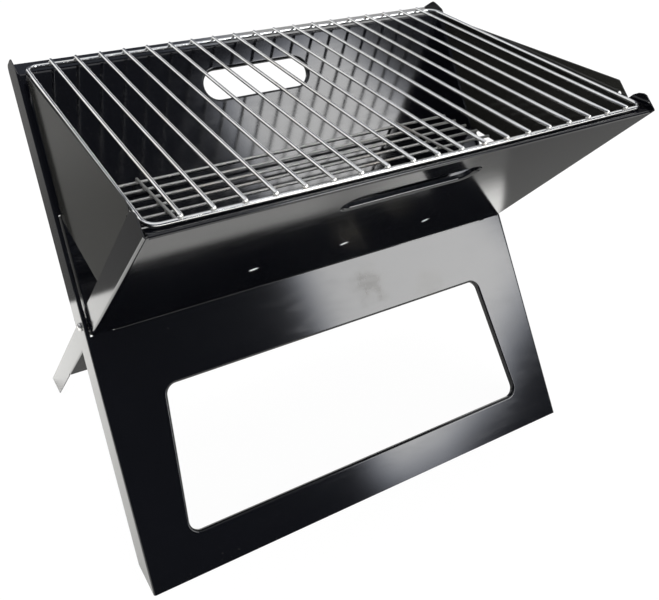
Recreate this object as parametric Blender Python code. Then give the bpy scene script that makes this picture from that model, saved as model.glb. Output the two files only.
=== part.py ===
"""Folding X-frame camp grill, open and ready for use. Metres, +Z up.

The origin is on the ground, at the middle of the outline seen from above. +X runs
along the width, +Y points to the back.

Two folded sheet panels cross like an X and turn on two rivets. The long panel leans
back: its lower half is the front leg, its upper half the rear wall. The short panel
leans forward: its upper half is the front wall, its lower half carries the rear legs.
Two loose side plates close the ends of the fire box, a wire charcoal grate lies wedged
in the V, and a wire cooking grid rests on the lip of the short panel and the top bend
of the long one.

Heights up a panel are measured along it from the line where the two faces cross.
Depths are measured square to it, behind its face.
"""

import math

import bmesh
import bpy
from mathutils import Matrix, Vector

for old in list(bpy.data.objects):
    bpy.data.objects.remove(old, do_unlink=True)

# ---------------------------------------------------------------- driving dimensions
WIDTH = 0.450  # long panel, outside its flanges
SHEET = 0.0010  # sheet thickness
LEAN_LONG = math.radians(58.8)  # long panel, from the ground
LEAN_SHORT = math.radians(45.4)  # short panel, from the ground
CROSS_Z = 0.1874  # height of the line where the two faces cross
PIVOT_DEPTH = 0.0120  # rivet line behind both faces

LONG_TOP = 0.2249  # crossing line to top bend, along the long panel
SHORT_TOP = 0.2356  # crossing line to top bend, along the short panel
SHORT_HALF = 0.2209  # half width of the short panel outside its flanges
SHORT_FLANGE = 0.0220  # flange depth of the short panel

RIVET_HOLE = 0.0026  # radius
GAP = 0.0003  # clearance between neighbouring pieces
RIM = 0.0050  # depth of the rims turned back around the large openings
SKIN = 0.00006  # start of flanges and rims, just inside the face
LIP_START = 0.0001  # depth at which the lips start

# Reach of the cutting solids to each side of what they cut.
SHEET_CUT = 0.004  # through a single sheet
RIM_CUT = 0.02  # through a sheet and its rim
WIDTH_CUT = 0.3  # through the whole width

SIDES = (("left", -1), ("right", 1))

# Finishes
PANEL_ENAMEL = dict(colour=(0.012, 0.012, 0.013), metallic=0.0, roughness=0.12)
PLATE_ENAMEL = dict(PANEL_ENAMEL, roughness=0.14)
RIVET_METAL = dict(colour=(0.55, 0.55, 0.54), metallic=1.0, roughness=0.3)
SPACER_METAL = dict(RIVET_METAL, roughness=0.35)
CHROME = dict(colour=(0.80, 0.80, 0.79), metallic=1.0, roughness=0.12)
GREY_WIRE = dict(colour=(0.46, 0.46, 0.45), metallic=1.0, roughness=0.3)

# ---------------------------------------------------------------- derived geometry
HALF = WIDTH / 2
OPENING = math.pi - LEAN_LONG - LEAN_SHORT  # opening angle of the V
PIVOT_ALONG = PIVOT_DEPTH * math.tan(OPENING / 2)  # rivet line, up the long panel

# Directions up each panel and behind its face.
LONG_UP = Vector((0, math.cos(LEAN_LONG), math.sin(LEAN_LONG)))
LONG_BACK = Vector((0, math.sin(LEAN_LONG), -math.cos(LEAN_LONG)))
SHORT_UP = Vector((0, -math.cos(LEAN_SHORT), math.sin(LEAN_SHORT)))
SHORT_BACK = Vector((0, math.sin(LEAN_SHORT), math.cos(LEAN_SHORT)))


def long_ground(depth):
    """Height up the long panel at which the given depth meets the ground."""
    return (-CROSS_Z + depth * math.cos(LEAN_LONG)) / math.sin(LEAN_LONG)


def short_ground(depth):
    """Height up the short panel at which the given depth meets the ground."""
    return (-CROSS_Z - depth * math.cos(LEAN_SHORT)) / math.sin(LEAN_SHORT)


# The outline from above runs from the front wall's top bend to the rear feet.
FRONT_MOST = SHORT_UP.y * SHORT_TOP
BACK_MOST = SHORT_UP.y * short_ground(SHORT_FLANGE) + SHORT_BACK.y * SHORT_FLANGE
CROSS_Y = -(FRONT_MOST + BACK_MOST) / 2
CROSS = Vector((0, CROSS_Y, CROSS_Z))
PIVOT = CROSS + LONG_UP * PIVOT_ALONG + LONG_BACK * PIVOT_DEPTH

# Axes of an extrusion: the outline's two, then the extrusion's. A panel is built lying
# flat: x across, y up the panel, z out of its front face.
X, Y, Z = Vector((1, 0, 0)), Vector((0, 1, 0)), Vector((0, 0, 1))
ACROSS = (X, Y, Z)  # outline on the face
SIDEWAYS = (Y, -Z, X)  # outline of (height up the panel, depth behind its face)
UPRIGHT = (Y, Z, X)  # outline of a plate that stands square to the width


# ---------------------------------------------------------------- objects
def material(name, colour, metallic, roughness):
    made = bpy.data.materials.new(name)
    made.use_nodes = True
    shader = made.node_tree.nodes["Principled BSDF"]
    shader.inputs["Base Color"].default_value = (*colour, 1)
    shader.inputs["Metallic"].default_value = metallic
    shader.inputs["Roughness"].default_value = roughness
    return made


def new_object(name, builder, finish=None):
    """Makes an object from a builder, a function that fills an empty bmesh."""
    solid = bmesh.new()
    builder(solid)
    bmesh.ops.recalc_face_normals(solid, faces=solid.faces)
    mesh = bpy.data.meshes.new(name)
    solid.to_mesh(mesh)
    solid.free()
    obj = bpy.data.objects.new(name, mesh)
    bpy.context.scene.collection.objects.link(obj)
    if finish is not None:
        mesh.materials.append(material(name + "_finish", **finish))
    return obj


def combine(target, operation, name, builder):
    """Adds a hidden helper to the target, with the boolean modifier that uses it."""
    tool = new_object(name, builder)
    tool.hide_render = True
    tool.display_type = "WIRE"
    tool.parent = target
    change = target.modifiers.new(name, "BOOLEAN")
    change.operation = operation
    change.solver = "EXACT"
    change.object = tool


def add(target, name, builder):
    combine(target, "UNION", name, builder)


def cut(target, name, builder):
    combine(target, "DIFFERENCE", name, builder)


# ---------------------------------------------------------------- solids
def prism(outline, low, high, axes, shift=Vector()):
    """Builder: extrudes an outline from low to high along the third axis."""

    def build(solid):
        across, along, normal = axes
        bottom, top = (
            [solid.verts.new(across * p[0] + along * p[1] + normal * level) for p in outline]
            for level in (low, high)
        )
        solid.faces.new(bottom)
        solid.faces.new(top[::-1])
        for i in range(len(outline)):
            j = (i + 1) % len(outline)
            solid.faces.new((bottom[i], top[i], top[j], bottom[j]))
        bmesh.ops.translate(solid, verts=solid.verts, vec=shift)

    return build


def bridge(solid, rings):
    """Joins each ring to the next and the last to the first. A ring may be a point."""
    for first, second in zip(rings, rings[1:] + rings[:1]):
        steps = max(len(first), len(second))
        if steps == 1:
            continue
        for k in range(steps):
            j = (k + 1) % steps
            if len(first) == 1:
                solid.faces.new((first[0], second[k], second[j]))
            elif len(second) == 1:
                solid.faces.new((first[k], second[0], first[j]))
            else:
                solid.faces.new((first[k], second[k], second[j], first[j]))


def turned(profile, steps=12):
    """Builder: turns a closed profile of (x, radius) about the x axis."""

    def build(solid):
        rings = []
        for x, radius in profile:
            angles = [2 * math.pi * k / steps for k in range(steps if radius else 1)]
            rings.append(
                [
                    solid.verts.new((x, radius * math.cos(a), radius * math.sin(a)))
                    for a in angles
                ]
            )
        bridge(solid, rings)

    return build


# Turns from z to the run of a straight wire.
ALONG_X = Matrix.Rotation(math.pi / 2, 4, "Y")
ALONG_Y = Matrix.Rotation(-math.pi / 2, 4, "X")


def wire(name, length, radius, turn, finish, at, tilt=0.0, steps=8):
    """A straight round wire, centred."""

    def build(solid):
        bmesh.ops.create_cone(
            solid,
            cap_ends=True,
            cap_tris=False,
            segments=steps,
            radius1=radius,
            radius2=radius,
            depth=length,
            matrix=Matrix.Rotation(math.pi / steps, 4, "Z"),
        )
        bmesh.ops.transform(solid, verts=solid.verts, matrix=turn)

    obj = new_object(name, build, finish)
    obj.location = at
    obj.rotation_euler = (tilt, 0, 0)


# ---------------------------------------------------------------- outlines
def span(sign, near, far):
    """Low and high x of a slice between two distances from the middle."""
    return sorted((sign * near, sign * far))


def box_outline(x_low, x_high, y_low, y_high):
    return [(x_low, y_low), (x_high, y_low), (x_high, y_high), (x_low, y_high)]


def corner_arc(before, here, after, radius, steps):
    """The points of an arc that replaces one corner of an outline."""
    here = Vector(here)
    to_before = (Vector(before) - here).normalized()
    to_after = (Vector(after) - here).normalized()
    half = to_before.angle(to_after) / 2
    centre = here + (to_before + to_after).normalized() * radius / math.sin(half)
    start = here + to_before * radius / math.tan(half) - centre
    end = here + to_after * radius / math.tan(half) - centre
    turn = start.angle(end)
    if start.x * end.y - start.y * end.x < 0:
        turn = -turn
    return [
        (
            centre.x + start.x * math.cos(a) - start.y * math.sin(a),
            centre.y + start.x * math.sin(a) + start.y * math.cos(a),
        )
        for a in (turn * k / steps for k in range(steps + 1))
    ]


def rounded(corners, radius, steps=5):
    """An outline whose corners are arcs of the radius."""
    points = []
    for i, here in enumerate(corners):
        after = corners[(i + 1) % len(corners)]
        points += corner_arc(corners[i - 1], here, after, radius, steps)
    return points


def oblong(x, y, length, width, grow=0.0, steps=6):
    """A slot with half-round ends, grown outwards all round."""
    radius = (width + 2 * grow) / 2
    points = []
    for side, first in ((1, -90), (-1, 90)):
        end_x = x + side * (length - width) / 2
        for k in range(steps + 1):
            a = math.radians(first + 180 * k / steps)
            points.append((end_x + radius * math.cos(a), y + radius * math.sin(a)))
    return points


def circle(x, y, radius, steps=12):
    return [
        (
            x + radius * math.cos(2 * math.pi * k / steps),
            y + radius * math.sin(2 * math.pi * k / steps),
        )
        for k in range(steps)
    ]


# ---------------------------------------------------------------- long panel
LONG_FOOT_SPARE = 0.003  # sheet below the ground at the face, trimmed off
FLANGE_FOOT_SPARE = 0.002  # the same on the flanges
LONG_FLANGE = 0.0320  # flange depth
LONG_EAR = 0.2425  # crossing line to the end of its side flanges
EAR_RADIUS = 0.0045  # at the tip of the flange ends
EAR_TIP_DEPTH = 0.0120
EAR_CHAMFER = 0.0050
EAR_ROOT = (LONG_TOP + 0.0110, 0.0062)  # where the straight edge to the tip starts
LONG_LIP = 0.0358  # level lip behind the top bend
LIP_HALF = 0.2236  # half width of that lip, just inside the flanges
LIP_HEM = 0.0068  # hem turned down from the lip, parallel to the panel
HEM_THICKNESS = SHEET * 1.76  # measured along the panel

WINDOW_TOP, WINDOW_BOTTOM = -0.0587, -0.1837
WINDOW_TOP_HALF, WINDOW_BOTTOM_HALF = 0.1708, 0.1824
WINDOW_RADIUS = 0.0095
WINDOW_SIDE_GROWTH = 1.02  # sideways growth for each unit of growth up and down
REAR_GRIP = (-0.0110, 0.1893, 0.1090, 0.0284)  # x, height up the panel, length, width

SLIT_HALF = 0.2025  # half length of the slit that the short panel passes through
SLIT_LOW, SLIT_HIGH = -0.0004, 0.0185
FLANGE_SLOT_TOP = 0.1035  # top end of the two slots that the short flanges pass through
SLOT_CLEARANCE = 0.0006  # on each side of a short flange
SLOT_RIM_CLEARANCE = 0.0007  # from a short flange to the rim on its inner side
SLOT_RIM_LOW, SLOT_RIM_DEPTH = 0.0155, 0.0125  # rim turned back along each slot
SLOT_RIM_TOP = FLANGE_SLOT_TOP - 0.0002

GROUND_CUT_FRONT, GROUND_CUT_BACK = -0.02, 0.06  # depths the trimming solid spans
GROUND_CUT_DROP = 0.06  # its reach below the foot, along the panel


def long_flange_outline():
    ear_tip = (LONG_EAR, EAR_TIP_DEPTH)
    flange_foot = long_ground(0) - FLANGE_FOOT_SPARE
    return [
        (flange_foot, SKIN),
        (LONG_TOP + 0.0006, SKIN),
        (LONG_TOP + 0.0040, 0.0012),
        EAR_ROOT,
        *corner_arc(EAR_ROOT, ear_tip, (LONG_EAR, LONG_FLANGE), EAR_RADIUS, steps=4),
        (LONG_EAR, LONG_FLANGE - EAR_CHAMFER),
        (LONG_EAR - EAR_CHAMFER, LONG_FLANGE),
        (flange_foot, LONG_FLANGE),
    ]


def long_lip_outline():
    """The lip runs level towards the back, with a hem along its far edge."""
    level = Vector((math.cos(LEAN_LONG), math.sin(LEAN_LONG)))
    down = Vector((-math.sin(LEAN_LONG), math.cos(LEAN_LONG)))
    bend = Vector((LONG_TOP, LIP_START))
    edge = bend + level * LONG_LIP
    return [
        bend,
        edge,
        (edge.x - LIP_HEM, edge.y),
        (edge.x - LIP_HEM, edge.y - SHEET),
        (edge.x - HEM_THICKNESS, edge.y - SHEET),
        bend + down * SHEET,
    ]


def window_outline(grow=0.0):
    wide = grow * WINDOW_SIDE_GROWTH
    corners = [
        (-WINDOW_BOTTOM_HALF - wide, WINDOW_BOTTOM - grow),
        (WINDOW_BOTTOM_HALF + wide, WINDOW_BOTTOM - grow),
        (WINDOW_TOP_HALF + wide, WINDOW_TOP + grow),
        (-WINDOW_TOP_HALF - wide, WINDOW_TOP + grow),
    ]
    return rounded(corners, WINDOW_RADIUS + grow)


def add_flange_slot(panel, side, sign):
    """The slot for a flange of the short panel, and the rim on its inner side."""
    flange_inside = SHORT_HALF - SHEET
    slot = span(sign, SHORT_HALF + SLOT_CLEARANCE, flange_inside - SLOT_CLEARANCE)
    slot_outline = box_outline(*slot, SLIT_LOW, FLANGE_SLOT_TOP)
    cut(panel, f"flange_slot_{side}", prism(slot_outline, -SHEET_CUT, SHEET_CUT, ACROSS))
    rim_outside = flange_inside - SLOT_RIM_CLEARANCE
    rim = span(sign, rim_outside, rim_outside - SHEET)
    rim_outline = box_outline(*rim, SLOT_RIM_LOW, SLOT_RIM_TOP)
    add(
        panel,
        f"flange_slot_rim_{side}",
        prism(rim_outline, -SLOT_RIM_DEPTH, -SHEET / 2, ACROSS),
    )


def build_long_panel():
    face = box_outline(long_ground(0) - LONG_FOOT_SPARE, LONG_TOP, 0, SHEET)
    face_half = HALF - SHEET / 2
    panel = new_object(
        "long_panel_front_leg_rear_wall",
        prism(face, -face_half, face_half, SIDEWAYS),
        PANEL_ENAMEL,
    )
    panel.location = CROSS
    panel.rotation_euler = (LEAN_LONG, 0, 0)

    for side, sign in SIDES:
        low, high = span(sign, HALF - SHEET, HALF)
        add(panel, f"long_flange_{side}", prism(long_flange_outline(), low, high, SIDEWAYS))
    add(panel, "long_lip", prism(long_lip_outline(), -LIP_HALF, LIP_HALF, SIDEWAYS))

    add(panel, "window_rim", prism(window_outline(SHEET), -RIM, -SKIN, ACROSS))
    grip_rim = oblong(*REAR_GRIP, grow=SHEET)
    add(panel, "rear_grip_rim", prism(grip_rim, -RIM, -SKIN, ACROSS))
    cut(panel, "window_cut", prism(window_outline(), -RIM_CUT, RIM_CUT, ACROSS))
    cut(panel, "rear_grip_cut", prism(oblong(*REAR_GRIP), -RIM_CUT, RIM_CUT, ACROSS))

    slit = box_outline(-SLIT_HALF, SLIT_HALF, SLIT_LOW, SLIT_HIGH)
    cut(panel, "slit_cut", prism(slit, -SHEET_CUT, SHEET_CUT, ACROSS))
    for side, sign in SIDES:
        add_flange_slot(panel, side, sign)

    # Its lower edges are cut level with the ground.
    below = long_ground(0) - GROUND_CUT_DROP
    underground = [
        (long_ground(GROUND_CUT_FRONT), GROUND_CUT_FRONT),
        (long_ground(GROUND_CUT_BACK), GROUND_CUT_BACK),
        (below, GROUND_CUT_BACK),
        (below, GROUND_CUT_FRONT),
    ]
    cut(panel, "ground_cut", prism(underground, -WIDTH_CUT, WIDTH_CUT, SIDEWAYS))
    hole = circle(PIVOT_ALONG, PIVOT_DEPTH, RIVET_HOLE)
    cut(panel, "long_pivot_holes", prism(hole, -WIDTH_CUT, WIDTH_CUT, SIDEWAYS))


# ---------------------------------------------------------------- short panel
SHORT_FACE_END = 0.1619  # crossing line down to the end of its face
SHORT_FLANGE_TOP = SHORT_TOP - 0.0002
SHORT_LIP = 0.0130  # level lip behind the top bend
SHORT_LIP_HALF = 0.2172  # half width of that lip
FRONT_GRIP = (-0.0020, 0.1935, 0.1230, 0.0240)  # x, height up the panel, length, width
VENT_UP, VENT_PITCH, VENT_X, VENT_DIAMETER = 0.0728, 0.0879, -0.0069, 0.0095
WAIST_HALF = 0.2010  # half width of the short panel inside the slit
NOTCH_LOW, NOTCH_HIGH = -0.0136, 0.0007  # notches at the ends of the waist
NOTCH_FLANGE_GAP = 0.00002  # sheet left between notch and flange

# It is drawn about its joint axis, the rivet line.
TO_PIVOT = Y * PIVOT_ALONG + Z * PIVOT_DEPTH


def short_prism(outline, low, high, axes):
    return prism(outline, low, high, axes, TO_PIVOT)


def short_flange_outline():
    return [
        (short_ground(SKIN), SKIN),
        (SHORT_FLANGE_TOP, SKIN),
        (SHORT_FLANGE_TOP, 0.0150),
        (SHORT_TOP - 0.0077, SHORT_FLANGE - 0.0006),
        (SHORT_TOP - 0.0110, SHORT_FLANGE),
        (short_ground(SHORT_FLANGE), SHORT_FLANGE),
    ]


def short_lip_outline():
    """The lip runs level towards the back."""
    level = Vector((-math.cos(LEAN_SHORT), math.sin(LEAN_SHORT)))
    down = Vector((-math.sin(LEAN_SHORT), -math.cos(LEAN_SHORT)))
    bend = Vector((SHORT_TOP, LIP_START))
    edge = bend + level * SHORT_LIP
    return [
        bend,
        edge,
        edge + down * SHEET,
        (SHORT_TOP - 0.0028, SHEET * 0.6),
        (SHORT_TOP - 0.0014, LIP_START),
    ]


def build_short_panel():
    face_half = SHORT_HALF - SHEET / 2
    face = box_outline(-face_half, face_half, -SHORT_FACE_END, SHORT_TOP)
    panel = new_object(
        "short_panel_front_wall_rear_legs",
        short_prism(face, -SHEET, 0, ACROSS),
        PANEL_ENAMEL,
    )
    panel.location = PIVOT
    panel.rotation_euler = (math.pi - LEAN_SHORT, 0, 0)

    for side, sign in SIDES:
        low, high = span(sign, SHORT_HALF - SHEET, SHORT_HALF)
        flange = short_prism(short_flange_outline(), low, high, SIDEWAYS)
        add(panel, f"short_flange_{side}", flange)
    lip = short_prism(short_lip_outline(), -SHORT_LIP_HALF, SHORT_LIP_HALF, SIDEWAYS)
    add(panel, "short_lip", lip)

    grip_rim = oblong(*FRONT_GRIP, grow=SHEET)
    add(panel, "front_grip_rim", short_prism(grip_rim, -RIM, -SKIN, ACROSS))
    grip_cut = short_prism(oblong(*FRONT_GRIP), -RIM_CUT, RIM_CUT, ACROSS)
    cut(panel, "front_grip_cut", grip_cut)

    for k in (-1, 0, 1):
        vent = circle(VENT_X + k * VENT_PITCH, VENT_UP, VENT_DIAMETER / 2, steps=16)
        cut(panel, f"vent_cut_{k + 2}", short_prism(vent, -SHEET_CUT, SHEET_CUT, ACROSS))

    # The long panel's side strips pass through a notch at each end of the waist.
    for side, sign in SIDES:
        ends = span(sign, WAIST_HALF, SHORT_HALF - SHEET - NOTCH_FLANGE_GAP)
        notch = box_outline(*ends, NOTCH_LOW, NOTCH_HIGH)
        cut(panel, f"waist_notch_{side}", short_prism(notch, -SHEET_CUT, SHEET_CUT, ACROSS))

    hole = circle(-PIVOT_ALONG, PIVOT_DEPTH, RIVET_HOLE)
    cut(panel, "short_pivot_holes", short_prism(hole, -WIDTH_CUT, WIDTH_CUT, SIDEWAYS))


# ---------------------------------------------------------------- rivets and spacers
RIVET_RADIUS, HEAD_RADIUS, SPACER_RADIUS = 0.0022, 0.0038, 0.0058
OUTER_SEAT = HALF + GAP
INNER_SEAT = SHORT_HALF - SHEET - GAP
SPACER_OUTER = HALF - SHEET - GAP
SPACER_INNER = SHORT_HALF + GAP

# Closed profiles of (distance from the middle of the width, radius).
RIVET_PROFILE = [
    (OUTER_SEAT + 0.0022, 0),
    (OUTER_SEAT + 0.0016, HEAD_RADIUS * 0.62),
    (OUTER_SEAT + 0.0004, HEAD_RADIUS),
    (OUTER_SEAT, HEAD_RADIUS),
    (OUTER_SEAT, RIVET_RADIUS),
    (INNER_SEAT, RIVET_RADIUS),
    (INNER_SEAT, HEAD_RADIUS * 0.9),
    (INNER_SEAT - 0.0008, HEAD_RADIUS * 0.75),
    (INNER_SEAT - 0.0012, 0),
]
SPACER_PROFILE = [
    (SPACER_OUTER, RIVET_HOLE),
    (SPACER_OUTER, SPACER_RADIUS),
    (SPACER_INNER, SPACER_RADIUS),
    (SPACER_INNER, RIVET_HOLE),
]


def build_pivot(side, sign):
    """A rivet through both flanges, and the spacer ring between them."""
    for piece, profile, finish in (
        ("rivet", RIVET_PROFILE, RIVET_METAL),
        ("spacer", SPACER_PROFILE, SPACER_METAL),
    ):
        placed = [(sign * x, radius) for x, radius in profile]
        obj = new_object(f"pivot_{piece}_{side}", turned(placed), finish)
        obj.location = PIVOT


# ---------------------------------------------------------------- side plates
PLATE_X = 0.2182  # inner side of the end plates
PLATE_HOLE = 0.0019  # radius
PLATE_WALL_GAP = 0.0022  # from the front wall's face
LEFT_SAG = math.radians(1.9)  # the left plate has settled lower at its front


def on_long(up, front):
    """A point up the long panel and in front of its face."""
    return CROSS + LONG_UP * up - LONG_BACK * front


def on_short(up, back):
    """A point up the short panel and behind its face."""
    return CROSS + SHORT_UP * up + SHORT_BACK * back


def slide_to_wall(point, along):
    """Moves a point along a line until it stands clear of the front wall by the gap."""
    depth = (point - CROSS).dot(SHORT_BACK)
    return point + along * ((PLATE_WALL_GAP - depth) / along.dot(SHORT_BACK))


LOW_BACK = on_long(0.0985, 0.0012)
LOW_EDGE_POINT = on_long(0.0456, 0.0705)  # a point that sets the lower edge's slope
# Upper back, lower back, lower front, front, upper front.
PLATE_CORNERS = [
    on_long(0.2216, 0.0035),
    LOW_BACK,
    slide_to_wall(LOW_EDGE_POINT, LOW_EDGE_POINT - LOW_BACK),
    on_short(0.2185, PLATE_WALL_GAP),
    on_short(0.2198, 0.0390),
]
PLATE_HOLE_AT = on_short(0.2140, 0.0294)


def settled(point):
    return LOW_BACK + Matrix.Rotation(LEFT_SAG, 4, "X") @ (point - LOW_BACK)


def build_side_plate(side, sign):
    corners, hole = PLATE_CORNERS, PLATE_HOLE_AT
    if side == "left":
        corners = [settled(corner) for corner in corners]
        hole = settled(hole)
        # Its front edges are shorter, so that the settled plate clears the front wall.
        corners[2] = slide_to_wall(corners[2], corners[1] - corners[2])
        corners[3] = slide_to_wall(corners[3], corners[4] - corners[3])
    centre = sum(corners, Vector()) / len(corners)
    outline = [(corner.y - centre.y, corner.z - centre.z) for corner in corners]
    low, high = span(sign, PLATE_X, PLATE_X + SHEET)
    plate = new_object(
        f"side_plate_{side}", prism(outline, low, high, UPRIGHT), PLATE_ENAMEL
    )
    plate.location = centre
    hole_outline = circle(hole.y - centre.y, hole.z - centre.z, PLATE_HOLE, steps=8)
    cut(plate, f"plate_hole_{side}", prism(hole_outline, -WIDTH_CUT, WIDTH_CUT, UPRIGHT))


# ---------------------------------------------------------------- cooking grid
FRAME_WIRE, BAR_WIRE = 0.00175, 0.0015  # radii
GRID_HALF_X, GRID_FRONT, GRID_BACK = 0.2155, -0.1560, 0.1245  # y from the crossing
GRID_CORNER = 0.0095  # corner radius of the frame wire's centre line
BARS = 19
BAR_EXTRA = 0.0034  # bar length beyond the frame's centre lines, both ends together

# The frame wire rests on the front lip and on the rear panel's top bend.
FRONT_REST_Z = CROSS_Z + SHORT_TOP * math.sin(LEAN_SHORT) + GAP + FRAME_WIRE
BEND_REST_Y = LONG_TOP * math.cos(LEAN_LONG)
BEND_REST_Z = CROSS_Z + LONG_TOP * math.sin(LEAN_LONG) + GAP + FRAME_WIRE
GRID_TILT = math.atan2(BEND_REST_Z - FRONT_REST_Z, BEND_REST_Y - GRID_FRONT)
GRID_CENTRE = Vector(
    (
        0,
        CROSS_Y + (GRID_FRONT + GRID_BACK) / 2,
        FRONT_REST_Z + (GRID_BACK - GRID_FRONT) / 2 * math.tan(GRID_TILT),
    )
)
GRID_HALF_Y = (GRID_BACK - GRID_FRONT) / 2 / math.cos(GRID_TILT)


def grid_frame_loop(solid, corner_steps=4, wire_steps=8):
    """Builder: a round wire swept around a rectangle with rounded corners."""
    rings = []
    for i, (sign_x, sign_y) in enumerate(((1, 1), (-1, 1), (-1, -1), (1, -1))):
        corner = Vector(
            (sign_x * (GRID_HALF_X - GRID_CORNER), sign_y * (GRID_HALF_Y - GRID_CORNER), 0)
        )
        for k in range(corner_steps + 1):
            heading = math.radians(90 * i + 90 * k / corner_steps)
            out = Vector((math.cos(heading), math.sin(heading), 0))
            centre = corner + out * GRID_CORNER
            angles = [2 * math.pi * (j + 0.5) / wire_steps for j in range(wire_steps)]
            rings.append(
                [
                    solid.verts.new(
                        centre
                        + out * FRAME_WIRE * math.cos(a)
                        + Z * FRAME_WIRE * math.sin(a)
                    )
                    for a in angles
                ]
            )
    bridge(solid, rings)


def build_cooking_grid():
    frame = new_object("cooking_grid_frame_wire", grid_frame_loop, CHROME)
    frame.location = GRID_CENTRE
    frame.rotation_euler = (GRID_TILT, 0, 0)

    # The bars lie on top of the frame wire.
    grid_up = Vector((0, -math.sin(GRID_TILT), math.cos(GRID_TILT)))
    bar_centre = GRID_CENTRE + grid_up * (FRAME_WIRE + BAR_WIRE + GAP / 2)
    for k in range(1, BARS + 1):
        wire(
            f"cooking_grid_bar_{k:02d}",
            length=2 * GRID_HALF_Y + BAR_EXTRA,
            radius=BAR_WIRE,
            turn=ALONG_Y,
            finish=CHROME,
            at=bar_centre + X * (-GRID_HALF_X + 2 * GRID_HALF_X * k / (BARS + 1)),
            tilt=GRID_TILT,
        )


# ---------------------------------------------------------------- charcoal grate
GRATE_WIRE = 0.0014  # radius
GRATE_WIRES, GRATE_PITCH = 10, 0.0169
GRATE_BACK_Y, GRATE_Z = 0.0575, 0.2880  # the rearmost wire, y from the crossing
GRATE_X, GRATE_HALF = -0.0130, 0.2000  # middle and half length of the long wires
GRATE_CROSS = 0.1375  # cross wires to each side of the grate's middle
GRATE_WALL_GAP = 0.0035  # cross wire ends to the walls, level


def build_charcoal_grate():
    for k in range(GRATE_WIRES):
        wire(
            f"charcoal_grate_long_wire_{k + 1:02d}",
            length=2 * GRATE_HALF,
            radius=GRATE_WIRE,
            turn=ALONG_X,
            finish=GREY_WIRE,
            at=(GRATE_X, CROSS_Y + GRATE_BACK_Y - k * GRATE_PITCH, GRATE_Z),
        )
    # The cross wires lie on the long ones and end just short of both walls.
    cross_z = GRATE_Z + 2 * GRATE_WIRE + GAP / 2
    back = (cross_z - CROSS_Z) / math.tan(LEAN_LONG) - GRATE_WALL_GAP
    front = -(cross_z - CROSS_Z) / math.tan(LEAN_SHORT) + GRATE_WALL_GAP
    for side, sign in SIDES:
        wire(
            f"charcoal_grate_cross_wire_{side}",
            length=back - front,
            radius=GRATE_WIRE,
            turn=ALONG_Y,
            finish=GREY_WIRE,
            at=(GRATE_X + sign * GRATE_CROSS, CROSS_Y + (back + front) / 2, cross_z),
        )


build_long_panel()
build_short_panel()
for side_name, side_sign in SIDES:
    build_pivot(side_name, side_sign)
    build_side_plate(side_name, side_sign)
build_cooking_grid()
build_charcoal_grate()
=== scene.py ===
"""Looks of the folding camp grill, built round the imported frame."""

import math

import bmesh
import bpy
from mathutils import Matrix, Vector
from mathutils.geometry import delaunay_2d_cdt


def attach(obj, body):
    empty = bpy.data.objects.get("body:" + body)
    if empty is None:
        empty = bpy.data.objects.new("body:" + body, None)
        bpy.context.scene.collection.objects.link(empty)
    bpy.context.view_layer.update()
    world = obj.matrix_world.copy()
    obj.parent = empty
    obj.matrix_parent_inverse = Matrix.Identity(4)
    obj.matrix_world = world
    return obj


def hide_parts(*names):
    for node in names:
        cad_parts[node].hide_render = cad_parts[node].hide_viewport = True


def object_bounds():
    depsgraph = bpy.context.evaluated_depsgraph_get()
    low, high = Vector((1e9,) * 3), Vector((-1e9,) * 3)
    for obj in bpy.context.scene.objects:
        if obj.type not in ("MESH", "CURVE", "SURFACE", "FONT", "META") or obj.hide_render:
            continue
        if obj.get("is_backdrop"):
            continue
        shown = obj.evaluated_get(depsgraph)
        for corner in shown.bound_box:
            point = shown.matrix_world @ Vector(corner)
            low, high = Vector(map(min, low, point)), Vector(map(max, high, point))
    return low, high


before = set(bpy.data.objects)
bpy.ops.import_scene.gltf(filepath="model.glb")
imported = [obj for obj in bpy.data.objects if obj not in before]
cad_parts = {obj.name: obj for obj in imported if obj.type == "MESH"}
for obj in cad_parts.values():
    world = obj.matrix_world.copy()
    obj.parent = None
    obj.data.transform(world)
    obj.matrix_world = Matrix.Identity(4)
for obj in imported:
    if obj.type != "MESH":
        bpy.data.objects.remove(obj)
cad_low, cad_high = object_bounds()

# ---------------------------------------------------------------- sizes, as in the part
WIDTH, SHEET = 0.450, 0.0010
LEAN_LONG, LEAN_SHORT = math.radians(58.8), math.radians(45.4)
CROSS_Z = 0.1874
LONG_TOP, LONG_EAR, LONG_FLANGE, LONG_LIP, LIP_HEM = 0.2249, 0.2425, 0.0320, 0.0358, 0.0068
SHORT_TOP, SHORT_FACE_END, SHORT_HALF = 0.2356, 0.1619, 0.2209
SHORT_FLANGE, SHORT_LIP = 0.0220, 0.0130
PIVOT_DEPTH = 0.0120
SLIT_HALF, WAIST_HALF, SLIT_LOW, SLIT_HIGH = 0.2025, 0.2010, -0.0004, 0.0185
NOTCH_LOW, NOTCH_HIGH = -0.0136, 0.0007
FLANGE_SLOT_TOP, SLOT_RIM_LOW, SLOT_RIM_DEPTH = 0.1035, 0.0155, 0.0125
LIP_HALF, EAR_RADIUS = 0.2236, 0.0045
WINDOW_TOP, WINDOW_BOTTOM = -0.0587, -0.1837
WINDOW_TOP_HALF, WINDOW_BOTTOM_HALF, WINDOW_RADIUS = 0.1708, 0.1824, 0.0095
RIM = 0.0050
REAR_GRIP = (-0.0110, 0.1893, 0.1090, 0.0284)
FRONT_GRIP = (-0.0020, 0.1935, 0.1230, 0.0240)
VENT_UP, VENT_PITCH, VENT_X, VENT_DIAMETER = 0.0728, 0.0879, -0.0069, 0.0095
PLATE_X = 0.2182
LEFT_SAG = math.radians(1.9)
FRAME_WIRE, BAR_WIRE, GRATE_WIRE = 0.00175, 0.0015, 0.0014
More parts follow.
